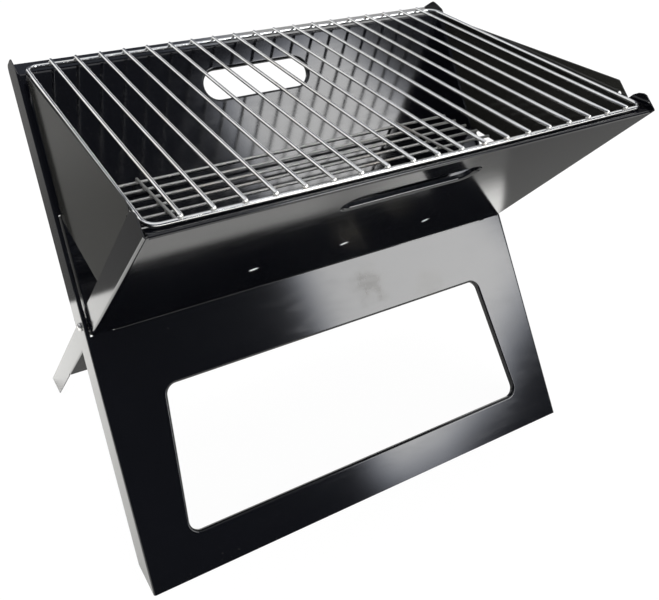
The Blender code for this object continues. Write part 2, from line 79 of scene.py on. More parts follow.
GRID_HALF_X, GRID_FRONT, GRID_BACK, GRID_CORNER, BARS = 0.2155, -0.1560, 0.1245, 0.0095, 19
GRATE_WIRES, GRATE_PITCH, GRATE_BACK_Y, GRATE_Z = 10, 0.0169, 0.0575, 0.2880
GRATE_X, GRATE_HALF, GRATE_CROSS = -0.0130, 0.2000, 0.1375
GAP = 0.0003
RIVET_RADIUS, RIVET_HOLE, HEAD_RADIUS = 0.0022, 0.0026, 0.0038

HALF = WIDTH / 2
X, Y, Z = Vector((1, 0, 0)), Vector((0, 1, 0)), Vector((0, 0, 1))
UP_L = Vector((0, math.cos(LEAN_LONG), math.sin(LEAN_LONG)))
BACK_L = Vector((0, math.sin(LEAN_LONG), -math.cos(LEAN_LONG)))
UP_S = Vector((0, -math.cos(LEAN_SHORT), math.sin(LEAN_SHORT)))
BACK_S = Vector((0, math.sin(LEAN_SHORT), math.cos(LEAN_SHORT)))
short_foot = -CROSS_Z / math.sin(LEAN_SHORT)
short_slope = -math.cos(LEAN_SHORT) / math.sin(LEAN_SHORT)
long_foot = -CROSS_Z / math.sin(LEAN_LONG)
long_slope = math.cos(LEAN_LONG) / math.sin(LEAN_LONG)
CROSS_Y = -(
    UP_S.y * SHORT_TOP
    + UP_S.y * (short_foot + SHORT_FLANGE * short_slope)
    + BACK_S.y * SHORT_FLANGE
) / 2
CROSS = Vector((0, CROSS_Y, CROSS_Z))
BETWEEN = math.pi - LEAN_LONG - LEAN_SHORT
PIVOT_ALONG = PIVOT_DEPTH * math.tan(BETWEEN / 2)
PIVOT = CROSS + UP_L * PIVOT_ALONG + BACK_L * PIVOT_DEPTH


# ---------------------------------------------------------------- node helpers
class Nodes:
    """A short way to write a shader: n("Type", input=value, ...) links sockets and sets values."""

    def __init__(self, tree):
        self.tree = tree

    def __call__(self, kind, props=None, **inputs):
        node = self.tree.nodes.new(kind)
        for key, value in (props or {}).items():
            setattr(node, key, value)
        for key, value in inputs.items():
            place = int(key[1:]) if key[0] == "i" and key[1:].isdigit() else key.replace("_", " ")
            self.put(node.inputs[place], value)
        return node

    def put(self, socket, value):
        if hasattr(value, "outputs"):
            value = value.outputs[0]
        if isinstance(value, bpy.types.NodeSocket):
            self.tree.links.new(value, socket)
        else:
            socket.default_value = value

    def math(self, op, a, b=0.0, c=0.0, clamp=False):
        node = self.tree.nodes.new("ShaderNodeMath")
        node.operation = op
        node.use_clamp = clamp
        for k, value in enumerate((a, b, c)):
            self.put(node.inputs[k], value)
        return node

    def mix(self, factor, a, b):
        node = self.tree.nodes.new("ShaderNodeMix")
        node.data_type = "RGBA"
        self.put(node.inputs["Factor"], factor)
        self.put(node.inputs[6], a)
        self.put(node.inputs[7], b)
        return node.outputs[2]

    def ramp(self, factor, low, high, out_low=0.0, out_high=1.0):
        """A smooth step of the factor from low to high."""
        node = self.tree.nodes.new("ShaderNodeMapRange")
        node.interpolation_type = "SMOOTHSTEP"
        self.put(node.inputs["Value"], factor)
        for name, value in (
            ("From Min", low),
            ("From Max", high),
            ("To Min", out_low),
            ("To Max", out_high),
        ):
            self.put(node.inputs[name], value)
        return node.outputs["Result"]

    def noise(self, where, scale, detail=2.0, roughness=0.5, distortion=0.0):
        return self(
            "ShaderNodeTexNoise",
            Vector=where,
            Scale=scale,
            Detail=detail,
            Roughness=roughness,
            Distortion=distortion,
        ).outputs["Fac"]


def new_material(name):
    made = bpy.data.materials.new(name)
    made.use_nodes = True
    made.node_tree.nodes.clear()
    n = Nodes(made.node_tree)
    out = n("ShaderNodeOutputMaterial")
    return made, n, out


def enamel(name, seed, base=(0.0010, 0.0011, 0.0018), rough=0.085, wave=0.12, smudges=()):
    """Glossy black stoved enamel on thin sheet: slightly wavy, orange peel, wiped smears, worn edges."""
    made, n, out = new_material(name)
    where = n("ShaderNodeMapping", Vector=n("ShaderNodeTexCoord").outputs["Object"])
    where.inputs["Location"].default_value = (seed * 1.37, seed * 0.71, seed * 2.13)
    cloud = n.noise(where, 9.0, 3.0, 0.55, 0.4)
    smear_map = n("ShaderNodeMapping", Vector=where)
    smear_map.inputs["Scale"].default_value = (1.0, 4.5, 4.5)
    smear_map.inputs["Rotation"].default_value = (0.2, 0.5, 0.35)
    smear = n.noise(smear_map, 16.0, 5.0, 0.62, 1.2)
    speck = n.noise(where, 900.0, 1.0, 0.5)
    dust = n.math("GREATER_THAN", n.noise(where, 620.0, 2.0, 0.6), 0.735)
    thin = n.noise(where, 34.0, 3.0, 0.6)
    dust_mask = n.math("MULTIPLY", dust, n.ramp(thin, 0.48, 0.72, 0.0, 0.55))

    # Edges: the rounded normal differs from the true one within half a millimetre of an edge.
    geometry = n("ShaderNodeNewGeometry")
    soft = n("ShaderNodeBevel", {"samples": 4}, Radius=0.00045)
    turn = n(
        "ShaderNodeVectorMath",
        {"operation": "DOT_PRODUCT"},
        i0=soft,
        i1=geometry.outputs["Normal"],
    ).outputs["Value"]
    edge = n.ramp(n.math("SUBTRACT", 1.0, turn), 0.02, 0.20)
    chip = n.ramp(n.noise(where, 210.0, 4.0, 0.7), 0.50, 0.66)
    smudge = 0.0
    for point, radius, amount in smudges:
        off = n("ShaderNodeVectorMath", {"operation": "DISTANCE"}, i0=geometry.outputs["Position"], i1=point)
        ragged = n.math("MULTIPLY_ADD", n.noise(where, 70.0, 4.0, 0.6), -2.2 * radius, off.outputs["Value"])
        patch = n.math("MULTIPLY", n.ramp(ragged, 0.25 * radius, -1.1 * radius), amount)
        smudge = n.math("ADD", smudge, patch)
    worn = n.math("MULTIPLY", edge, n.math("MULTIPLY_ADD", chip, 0.55, 0.10))

    colour = n.mix(
        cloud,
        (base[0] * 0.7, base[1] * 0.7, base[2] * 0.7, 1),
        (base[0] * 1.35, base[1] * 1.35, base[2] * 1.4, 1),
    )
    colour = n.mix(n.math("MULTIPLY", edge, 0.5), colour, (0.006, 0.006, 0.007, 1))
    colour = n.mix(worn, colour, (0.085, 0.083, 0.080, 1))
    colour = n.mix(dust_mask, colour, (0.12, 0.115, 0.105, 1))

    colour = n.mix(smudge, colour, (0.055, 0.047, 0.030, 1))

    shine = n.ramp(smear, 0.42, 0.78, rough, rough + 0.03)
    shine = n.math("ADD", shine, n.ramp(cloud, 0.35, 0.75, 0.0, 0.015))
    shine = n.math("MULTIPLY_ADD", worn, 0.25, shine)
    shine = n.math("MULTIPLY_ADD", dust_mask, 0.4, shine)

    waves = n.noise(where, 7.0, 1.0, 0.4)
    ripple = n("ShaderNodeBump", Strength=1.0, Distance=0.00035 * wave, Height=waves, Normal=soft)
    peel = n(
        "ShaderNodeBump",
        Strength=1.0,
        Distance=0.0000022,
        Height=n.math("ADD", n.noise(where, 520.0, 2.0), n.math("MULTIPLY", speck, 0.3)),
        Normal=ripple,
    )
    shader = n(
        "ShaderNodeBsdfPrincipled",
        Base_Color=colour,
        Roughness=n.math("MULTIPLY_ADD", smudge, 0.30, shine),
        IOR=1.5,
        Metallic=0.0,
        Normal=peel,
    )
    n.put(out.inputs["Surface"], shader)
    return made


def drawn_wire(name, seed, base, rough, tint, tint_amount, spread=1.0, metal=1.0):
    """Plated wire: fine draw marks, clouding, small pits and a heat tint that comes and goes."""
    made, n, out = new_material(name)
    where = n("ShaderNodeMapping", Vector=n("ShaderNodeTexCoord").outputs["Object"])
    where.inputs["Location"].default_value = (seed * 0.83, seed * 1.91, seed * 0.37)
    cloud = n.noise(where, 55.0, 4.0, 0.6, 0.6)
    streak_map = n("ShaderNodeMapping", Vector=where)
    streak_map.inputs["Scale"].default_value = (1.0, 1.0, 1.0)
    streak = n.noise(streak_map, 700.0, 2.0, 0.6)
    pits = n.ramp(n.noise(where, 1500.0, 2.0, 0.6), 0.62, 0.75)
    patch = n.ramp(n.noise(where, 12.0, 3.0, 0.6), 0.52, 0.72)
    colour = n.mix(
        cloud,
        (base[0] * 0.78, base[1] * 0.78, base[2] * 0.79, 1),
        (min(1, base[0] * 1.08), min(1, base[1] * 1.08), min(1, base[2] * 1.07), 1),
    )
    colour = n.mix(n.math("MULTIPLY", patch, tint_amount), colour, (*tint, 1))
    colour = n.mix(n.math("MULTIPLY", pits, 0.5), colour, (0.16, 0.15, 0.14, 1))
    shine = n.ramp(cloud, 0.3, 0.75, rough, rough + 0.14 * spread)
    shine = n.math("MULTIPLY_ADD", pits, 0.25, shine)
    bump = n(
        "ShaderNodeBump",
        Strength=1.0,
        Distance=0.000006,
        Height=n.math("ADD", streak, n.math("MULTIPLY", pits, -1.2)),
    )
    shader = n(
        "ShaderNodeBsdfPrincipled",
        Base_Color=colour,
        Roughness=shine,
        Metallic=metal,
        Normal=bump,
    )
    n.put(out.inputs["Surface"], shader)
    return made


HANDLED = ((0.0480, -0.0405, 0.1620), 0.020, 0.40), ((0.1150, -0.0500, 0.1465), 0.018, 0.26)
M_LONG = enamel("enamel_long_panel", 1.0, smudges=HANDLED)
M_SHORT = enamel("enamel_short_panel", 4.0)
M_PLATE = enamel("enamel_end_plate", 7.0, base=(0.0115, 0.0114, 0.0098), rough=0.12, wave=0.3)
M_CHROME = drawn_wire("chrome_rod", 2.0, (0.86, 0.86, 0.85), 0.10, (0.60, 0.55, 0.46), 0.35)
M_WELD = drawn_wire("weld_metal", 6.0, (0.62, 0.61, 0.59), 0.26, (0.34, 0.27, 0.20), 0.8)
M_GRATE = drawn_wire("grate_wire", 3.0, (0.40, 0.40, 0.39), 0.33, (0.33, 0.29, 0.25), 0.55, metal=0.72)
M_GRATE_WELD = drawn_wire("grate_weld", 9.0, (0.30, 0.29, 0.27), 0.40, (0.24, 0.19, 0.15), 0.8, metal=0.72)
M_ZINC = drawn_wire("zinc_rivet", 5.0, (0.66, 0.66, 0.66), 0.22, (0.40, 0.38, 0.34), 0.4)


# ---------------------------------------------------------------- mesh helpers
def add_object(name, bm_or_data, mat):
    mesh = bpy.data.meshes.new(name)
    bm_or_data.to_mesh(mesh)
    bm_or_data.free()
    mesh.materials.append(mat)
    for face in mesh.polygons:
        face.use_smooth = True
    obj = bpy.data.objects.new(name, mesh)
    bpy.context.scene.collection.objects.link(obj)
    return obj


def rounded(corners, radius, steps=10):
    points = []
    count = len(corners)
    for i in range(count):
        here = Vector(corners[i])
        before = (Vector(corners[i - 1]) - here).normalized()
        after = (Vector(corners[(i + 1) % count]) - here).normalized()
        half = before.angle(after) / 2
        centre = here + (before + after).normalized() * radius / math.sin(half)
        start = here + before * radius / math.tan(half) - centre
        end = here + after * radius / math.tan(half) - centre
        turn = start.angle(end)
        if start.x * end.y - start.y * end.x < 0:
            turn = -turn
        for k in range(steps + 1):
            a = turn * k / steps
            points.append(
                (
                    centre.x + start.x * math.cos(a) - start.y * math.sin(a),
                    centre.y + start.x * math.sin(a) + start.y * math.cos(a),
                )
            )
    return points


def oblong(x, y, length, width, steps=16):
    points = []
    for side, first in ((1, -90), (-1, 90)):
        cx = x + side * (length - width) / 2
        for k in range(steps + 1):
            a = math.radians(first + 180 * k / steps)
            points.append((cx + width / 2 * math.cos(a), y + width / 2 * math.sin(a)))
    return points


def circle(x, y, radius, steps=20):
    return [
        (
            x + radius * math.cos(2 * math.pi * k / steps),
            y + radius * math.sin(2 * math.pi * k / steps),
        )
        for k in range(steps)
    ]


def inside(point, loop):
    """Even-odd test."""
    x, y = point
    found = False
    for (x0, y0), (x1, y1) in zip(loop, loop[1:] + loop[:1]):
        if (y0 > y) != (y1 > y) and x < (x1 - x0) * (y - y0) / (y1 - y0) + x0:
            found = not found
    return found


class Sheet:
    """One side of a folded sheet, made of flat regions and curved strips that share their edge points."""

    def __init__(self):
        self.bm = bmesh.new()

    def region(self, outer, holes, place):
        points, edges = [], []
        for loop in [outer] + holes:
            first = len(points)
            points += [Vector(p) for p in loop]
            edges += [(first + k, first + (k + 1) % len(loop)) for k in range(len(loop))]
        verts, _, faces, _, _, _ = delaunay_2d_cdt(points, edges, [], 0, 1e-8)
        made = [self.bm.verts.new(place(v.x, v.y)) for v in verts]
        for face in faces:
            c = sum((verts[k] for k in face), Vector((0, 0))) / len(face)
            if inside(c, [tuple(p) for p in outer]) and not any(
                inside(c, [tuple(p) for p in h]) for h in holes
            ):
                self.bm.faces.new([made[k] for k in face])

    def strip(self, rows, closed=False):
        """Rows of the same number of points, joined by quads. closed: each row is a loop."""
        made = [[self.bm.verts.new(p) for p in row] for row in rows]
        for first, second in zip(made, made[1:]):
            n = len(first)
            for k in range(n if closed else n - 1):
                j = (k + 1) % n
                self.bm.faces.new((first[k], first[j], second[j], second[k]))

    def finish(self, name, mat, outward, thickness=SHEET):
        """outward: (point, direction) of a flat place, to face the surface the right way."""
        bm = self.bm
        bmesh.ops.remove_doubles(bm, verts=bm.verts, dist=2e-7)
        bmesh.ops.delete(bm, geom=[v for v in bm.verts if not v.link_faces], context="VERTS")
        bmesh.ops.recalc_face_normals(bm, faces=bm.faces)
        bm.faces.ensure_lookup_table()
        point, direction = outward
        near = min(bm.faces, key=lambda f: (f.calc_center_median() - point).length - 2 * math.sqrt(f.calc_area()))
        if near.normal.dot(direction) < 0:
            bmesh.ops.reverse_faces(bm, faces=bm.faces)
        obj = add_object(name, bm, mat)
        thick = obj.modifiers.new("thickness", "SOLIDIFY")
        thick.thickness = thickness
        thick.offset = -1
        thick.use_even_offset = True
        even = obj.modifiers.new("even_normals", "WEIGHTED_NORMAL")
        even.keep_sharp = True
        even.weight = 100
        sharpen(obj)
        return obj


def sharpen(obj, angle=math.radians(40)):
    mesh = obj.data
    bm = bmesh.new()
    bm.from_mesh(mesh)
    for e in bm.edges:
        if len(e.link_faces) == 2 and e.calc_face_angle(0) > angle:
            e.smooth = False
        elif len(e.link_faces) == 1:
            e.smooth = False
    bm.to_mesh(mesh)
    bm.free()


def arc(count, total):
    return [total * k / count for k in range(count + 1)]


def at_long(x, s, n):
    return CROSS + UP_L * s + BACK_L * n + X * x


def at_short(x, s, n):
    return CROSS + UP_S * s + BACK_S * n + X * x


def window_corners(grow):
    wide = grow * 1.02
    return [
        (-WINDOW_BOTTOM_HALF - wide, WINDOW_BOTTOM - grow),
        (WINDOW_BOTTOM_HALF + wide, WINDOW_BOTTOM - grow),
        (WINDOW_TOP_HALF + wide, WINDOW_TOP + grow),
        (-WINDOW_TOP_HALF - wide, WINDOW_TOP + grow),
    ]


def rim_rows(outline, place, radius=0.0022, depth=RIM, steps=6):
    """Rows of a flared rim: a quarter round from the face into the hole, then straight back.
    outline(grow) gives the hole's loop, grown by that much."""
    rows = []
    for a in arc(steps, math.pi / 2):
        grow = radius * (1 - math.sin(a))
        rows.append([place(x, s, radius * (1 - math.cos(a))) for x, s in outline(grow)])
    rows.append([place(x, s, depth) for x, s in outline(0)])
    return rows


def fold_path(start, heading, bends, straight):
    """Points (s, n) of a folded edge seen from the side: alternate bends (angle, radius) and straight runs."""
    p, a = Vector(start), heading
    points = [tuple(p)]
    for (turn, radius), length in zip(bends, straight):
        steps = max(5, int(abs(turn) / math.radians(9)))
        side = Vector((-math.sin(a), math.cos(a)))
        centre = p + side * radius
        for k in range(1, steps + 1):
            b = a + turn * k / steps
            p = centre - Vector((-math.sin(b), math.cos(b))) * radius
            points.append(tuple(p))
        a += turn
        p = p + Vector((math.cos(a), math.sin(a))) * length
        points.append(tuple(p))
    return points


BEND = 0.0020

# ---------------------------------------------------------------- long panel
sheet = Sheet()
lip_turn = LEAN_LONG  # from up the panel to level
lip_radius = 0.0022
lip_cut = lip_radius * math.tan(lip_turn / 2)
face_x = HALF - BEND
lip_x = 0.2224  # at its bend; further back it widens to LIP_HALF
ear_points = [(0.0, 0.2254), (0.0012, 0.2289), (0.0062, 0.2359), (0.0120, LONG_EAR)]


def soft_corner(before, here, after, radius, steps):
    """The points of an arc that replaces one corner of an outline."""
    here = Vector(here)
    back = (Vector(before) - here).normalized()
    on = (Vector(after) - here).normalized()
    half = back.angle(on) / 2
    centre = here + (back + on).normalized() * radius / math.sin(half)
    start = here + back * radius / math.tan(half) - centre
    turn = start.angle(here + on * radius / math.tan(half) - centre)
    if back.x * on.y - back.y * on.x > 0:
        turn = -turn
    return [
        (
            centre.x + start.x * math.cos(a) - start.y * math.sin(a),
            centre.y + start.x * math.sin(a) + start.y * math.cos(a),
        )
        for a in (turn * k / steps for k in range(steps + 1))
    ]


def ear(n):
    for (n0, s0), (n1, s1) in zip(ear_points, ear_points[1:]):
        if n <= n1:
            return s0 + (s1 - s0) * (n - n0) / (n1 - n0)
    return LONG_EAR


outer = [
    (-face_x, long_foot + long_slope * SHEET + 0.00006),
    (face_x, long_foot + long_slope * SHEET + 0.00006),
    (face_x, ear(0)),
    (lip_x + 0.0004, ear(0)),
    (lip_x, LONG_TOP - lip_cut),
    (-lip_x, LONG_TOP - lip_cut),
    (-lip_x - 0.0004, ear(0)),
    (-face_x, ear(0)),
]
R_RIM = 0.0022
holes = [
    rounded(window_corners(R_RIM), WINDOW_RADIUS + R_RIM),
    oblong(REAR_GRIP[0], REAR_GRIP[1], REAR_GRIP[2] + 2 * R_RIM, REAR_GRIP[3] + 2 * R_RIM),
    rounded(
        [
            (-SLIT_HALF, SLIT_LOW),
            (SLIT_HALF, SLIT_LOW),
            (SLIT_HALF, SLIT_HIGH),
            (-SLIT_HALF, SLIT_HIGH),
        ],
        0.0012,
        3,
    ),
]
SLOT_BEND = 0.0012
slot_out, slot_in = SHORT_HALF + 0.0006, SHORT_HALF - SHEET - 0.0006
for sign in (-1, 1):
    loop = [
        (slot_in, SLIT_LOW),
        (slot_out, SLIT_LOW),
        (slot_out, FLANGE_SLOT_TOP - 0.0008),
        (slot_out - 0.0003, FLANGE_SLOT_TOP - 0.0003),
        (slot_out - 0.0008, FLANGE_SLOT_TOP),
        (slot_in - SLOT_BEND, FLANGE_SLOT_TOP),
        (slot_in - SLOT_BEND, SLOT_RIM_LOW),
        (slot_in, SLOT_RIM_LOW),
    ]
    holes.append([(sign * x, s) for x, s in loop])
    rows = []
    for a in arc(5, math.pi / 2):
        n = SLOT_BEND * (1 - math.cos(a))
        x = sign * (slot_in - SLOT_BEND + SLOT_BEND * math.sin(a))
        rows.append([at_long(x, SLOT_RIM_LOW, n), at_long(x, FLANGE_SLOT_TOP, n)])
    x = sign * slot_in
    rows.append(
        [
            at_long(x, SLOT_RIM_LOW, SLOT_RIM_DEPTH),
            at_long(x, FLANGE_SLOT_TOP, SLOT_RIM_DEPTH),
        ]
    )
    sheet.strip(rows)
sheet.region(outer, holes, lambda x, s: at_long(x, s, 0))
sheet.strip(
    rim_rows(lambda g: rounded(window_corners(g), WINDOW_RADIUS + g), at_long, R_RIM), True
)
sheet.strip(
    rim_rows(
        lambda g: oblong(
            REAR_GRIP[0], REAR_GRIP[1], REAR_GRIP[2] + 2 * g, REAR_GRIP[3] + 2 * g
        ),
        at_long,
        R_RIM,
    ),
    True,
)
for sign in (-1, 1):
    rows = []
    for a in arc(6, math.pi / 2):
        n = BEND * (1 - math.cos(a))
        x = sign * (HALF - BEND + BEND * math.sin(a))
        low = long_foot + long_slope * (n + SHEET * math.cos(a)) + 0.00006
        rows.append([at_long(x, low, n), at_long(x, ear(n), n)])
    sheet.strip(rows)
    side = [(long_foot + long_slope * BEND + 0.00006, BEND), (ear(BEND), BEND)]
    side.append((ear(0.0062), 0.0062))
    side += soft_corner(
        (ear(0.0062), 0.0062), (LONG_EAR, 0.0120), (LONG_EAR, LONG_FLANGE), EAR_RADIUS, 4
    )
    corner = 0.0050
    for k in range(7):
        a = math.radians(90 * k / 6)
        side.append(
            (
                LONG_EAR - corner + corner * math.cos(a),
                LONG_FLANGE - corner + corner * math.sin(a),
            )
        )
    side.append((long_foot + long_slope * LONG_FLANGE, LONG_FLANGE))
    sheet.region(
        side,
        [circle(PIVOT_ALONG, PIVOT_DEPTH, RIVET_HOLE)],
        lambda s, n, sign=sign: at_long(sign * HALF, s, n),
    )
hem_turn = math.pi - LEAN_LONG
hem_radius = 0.0017
hem_cut = hem_radius * math.tan(hem_turn / 2)
path = fold_path(
    (LONG_TOP - lip_cut, 0),
    0.0,
    [(lip_turn, lip_radius), (hem_turn, hem_radius)],
    [LONG_LIP - lip_cut - hem_cut, LIP_HEM - hem_cut],
)
rows = []
for k, (s, n) in enumerate(path):
    wide = lip_x + (LIP_HALF - lip_x) * min(1.0, max(0.0, (n - 0.0006) / 0.0010))
    if k == len(path) - 1:
        wide -= 0.0012
    rows.append([at_long(-wide, s, n), at_long(wide, s, n)])
sheet.strip(rows)
long_panel = sheet.finish(
    "long_panel_pressed_sheet", M_LONG, (at_long(0, 0.1, 0), -BACK_L)
)
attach(long_panel, "long_panel")
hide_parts("long_panel_front_leg_rear_wall")

# ---------------------------------------------------------------- short panel
sheet = Sheet()
sip_turn = math.pi - LEAN_SHORT
sip_radius = 0.0016
sip_cut = sip_radius * math.tan(sip_turn / 2)
face_x = SHORT_HALF - BEND
sip_x = 0.2172
notch_x = SHORT_HALF - SHEET - 0.0002
outer = [
    (-face_x, -SHORT_FACE_END),
    (face_x, -SHORT_FACE_END),
    (face_x, NOTCH_LOW),
    (WAIST_HALF, NOTCH_LOW),
    (WAIST_HALF, NOTCH_HIGH),
    (face_x, NOTCH_HIGH),
    (face_x, SHORT_TOP - 0.0002),
    (sip_x + 0.0004, SHORT_TOP - 0.0002),
    (sip_x, SHORT_TOP - sip_cut),
    (-sip_x, SHORT_TOP - sip_cut),
    (-sip_x - 0.0004, SHORT_TOP - 0.0002),
    (-face_x, SHORT_TOP - 0.0002),
    (-face_x, NOTCH_HIGH),
    (-WAIST_HALF, NOTCH_HIGH),
    (-WAIST_HALF, NOTCH_LOW),
    (-face_x, NOTCH_LOW),
]
holes = [
    oblong(
        FRONT_GRIP[0], FRONT_GRIP[1], FRONT_GRIP[2] + 2 * R_RIM, FRONT_GRIP[3] + 2 * R_RIM
    )
]
for k in (-1, 0, 1):
    holes.append(circle(VENT_X + k * VENT_PITCH, VENT_UP, VENT_DIAMETER / 2, 28))
sheet.region(outer, holes, lambda x, s: at_short(x, s, 0))
sheet.strip(
    rim_rows(
        lambda g: oblong(
            FRONT_GRIP[0], FRONT_GRIP[1], FRONT_GRIP[2] + 2 * g, FRONT_GRIP[3] + 2 * g
        ),
        at_short,
        R_RIM,
    ),
    True,
)
for sign in (-1, 1):
    for low, high in ((-SHORT_FACE_END, NOTCH_LOW), (NOTCH_HIGH, SHORT_TOP - 0.0002)):
        rows = []
        for a in arc(6, math.pi / 2):
            n = BEND * (1 - math.cos(a))
            x = sign * (SHORT_HALF - BEND + BEND * math.sin(a))
            rows.append([at_short(x, low, n), at_short(x, high, n)])
        sheet.strip(rows)
    toe = 0.0035
    side = [
        (short_foot + short_slope * 0.0006, 0.0006),
        (-SHORT_FACE_END - toe, 0.0006),
        (-SHORT_FACE_END, BEND),
        (NOTCH_LOW, BEND),
        (NOTCH_HIGH, BEND),
        (SHORT_TOP - 0.0002, BEND),
        (SHORT_TOP - 0.0002, 0.0150),
        (SHORT_TOP - 0.0018, 0.0176),
        (SHORT_TOP - 0.0060, 0.0205),
        (SHORT_TOP - 0.0110, SHORT_FLANGE),
        (short_foot + short_slope * SHORT_FLANGE, SHORT_FLANGE),
    ]
    sheet.region(
        side,
        [circle(-PIVOT_ALONG, PIVOT_DEPTH, RIVET_HOLE)],
        lambda s, n, sign=sign: at_short(sign * SHORT_HALF, s, n),
    )
path = fold_path(
    (SHORT_TOP - sip_cut, 0), 0.0, [(sip_turn, sip_radius)], [SHORT_LIP - sip_cut]
)
sheet.strip([[at_short(-sip_x, s, n), at_short(sip_x, s, n)] for s, n in path])
short_panel = sheet.finish(
    "short_panel_pressed_sheet", M_SHORT, (at_short(0, 0.13, 0), -BACK_S)
)
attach(short_panel, "short_panel")
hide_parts("short_panel_front_wall_rear_legs")


# ---------------------------------------------------------------- end plates
def on_long(up, front):
    return at_long(0, up, -front)


def on_short(up, back):
    return at_short(0, up, back)


plate_low_back = on_long(0.0985, 0.0012)
plate_tip = on_long(0.0456, 0.0705)
slope = plate_tip - plate_low_back
plate_low_front = plate_tip + slope * (
    (0.0022 - (plate_tip - CROSS).dot(BACK_S)) / slope.dot(BACK_S)
)
plate_corners = [
    on_long(0.2216, 0.0035),
    plate_low_back,
    plate_low_front,
    on_short(0.2185, 0.0022),
    on_short(0.2198, 0.0390),
]
for side, sign in (("left", -1), ("right", 1)):
    corners = list(plate_corners)
    hole = on_short(0.2140, 0.0294)
    if side == "left":
        settle = Matrix.Rotation(LEFT_SAG, 4, "X")
        corners = [plate_low_back + settle @ (c - plate_low_back) for c in corners]
        hole = plate_low_back + settle @ (hole - plate_low_back)
        for k in (2, 3):
            depth = (corners[k] - CROSS).dot(BACK_S)
            along = corners[1] - corners[2] if k == 2 else corners[4] - corners[3]
            corners[k] = corners[k] + along * ((0.0022 - depth) / along.dot(BACK_S))
    outline = rounded([(c.y, c.z) for c in corners], 0.0022, 5)
    sheet = Sheet()
    x = sign * (PLATE_X + SHEET)
    sheet.region(
        outline, [circle(hole.y, hole.z, 0.0019)], lambda y, z, x=x: Vector((x, y, z))
    )
    middle = sum(corners, Vector()) / len(corners)
    plate = sheet.finish(
        f"end_plate_{side}_sheet",
        M_PLATE,
        (Vector((x, middle.y, middle.z)), Vector((sign, 0, 0))),
    )
    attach(plate, f"{side}_end_plate")
    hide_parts(f"side_plate_{side}")


# ---------------------------------------------------------------- turned pieces
def turned(name, profile, mat, steps=40):
    """Turns an open or closed profile of (x, radius) about the rivet line; radius 0 closes the end."""
    bm = bmesh.new()
    rings = []
    for x, radius in profile:
        if radius == 0:
            rings.append([bm.verts.new(PIVOT + X * x)])
        else:
            rings.append(
                [
                    bm.verts.new(
                        PIVOT
                        + X * x
                        + Y * radius * math.cos(2 * math.pi * k / steps)
                        + Z * radius * math.sin(2 * math.pi * k / steps)
                    )
                    for k in range(steps)
                ]
            )
    for first, second in zip(rings, rings[1:] + rings[:1]):
        if len(first) == 1 and len(second) == 1:
            continue
        for k in range(steps):
            j = (k + 1) % steps
            if len(first) == 1:
                bm.faces.new((first[0], second[k], second[j]))
            elif len(second) == 1:
                bm.faces.new((first[k], second[0], first[j]))
            else:
                bm.faces.new((first[k], second[k], second[j], first[j]))
    bmesh.ops.recalc_face_normals(bm, faces=bm.faces)
    obj = add_object(name, bm, mat)
    sharpen(obj, math.radians(50))
    return obj


outer_seat, inner_seat = HALF + GAP, SHORT_HALF - SHEET - GAP
dome = [(outer_seat + 0.0022 - 0.0004, 0)]
dome += [(outer_seat + 0.0022 - 0.00025, 0.0005), (outer_seat + 0.0022, 0.0011)]
for k in range(1, 8):
    a = math.radians(90 * k / 8)
    dome.append(
        (
            outer_seat + 0.0004 + 0.0018 * math.cos(a),
            0.0011 + (HEAD_RADIUS - 0.0011) * math.sin(a),
        )
    )
dome += [(outer_seat + 0.0004, HEAD_RADIUS), (outer_seat, HEAD_RADIUS)]
shank = [(outer_seat, RIVET_RADIUS), (inner_seat, RIVET_RADIUS)]
peened = [(inner_seat, HEAD_RADIUS * 0.9)]
for k in range(1, 7):
    a = math.radians(90 * k / 7)
    peened.append(
        (inner_seat - 0.0012 * math.sin(a), HEAD_RADIUS * 0.9 * (0.30 + 0.70 * math.cos(a)))
    )
peened.append((inner_seat - 0.0010, 0))
rivet_profile = dome + shank + peened
in_x, out_x, r_in, r_out, c = HALF - SHEET - GAP, SHORT_HALF + GAP, RIVET_HOLE, 0.0058, 0.0004
spacer_profile = [
    (in_x, r_in),
    (in_x, r_out - c),
    (in_x - c * 0.4, r_out - c * 0.25),
    (in_x - c, r_out),
    (out_x + c, r_out),
    (out_x + c * 0.4, r_out - c * 0.25),
    (out_x, r_out - c),
    (out_x, r_in),
]
for side, sign in (("left", -1), ("right", 1)):
    for kind, profile in (("rivet", rivet_profile), ("spacer", spacer_profile)):
        made = turned(
            f"pivot_{kind}_{side}_turned", [(sign * x, r) for x, r in profile], M_ZINC
        )
        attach(made, "long_panel")
        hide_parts(f"pivot_{kind}_{side}")


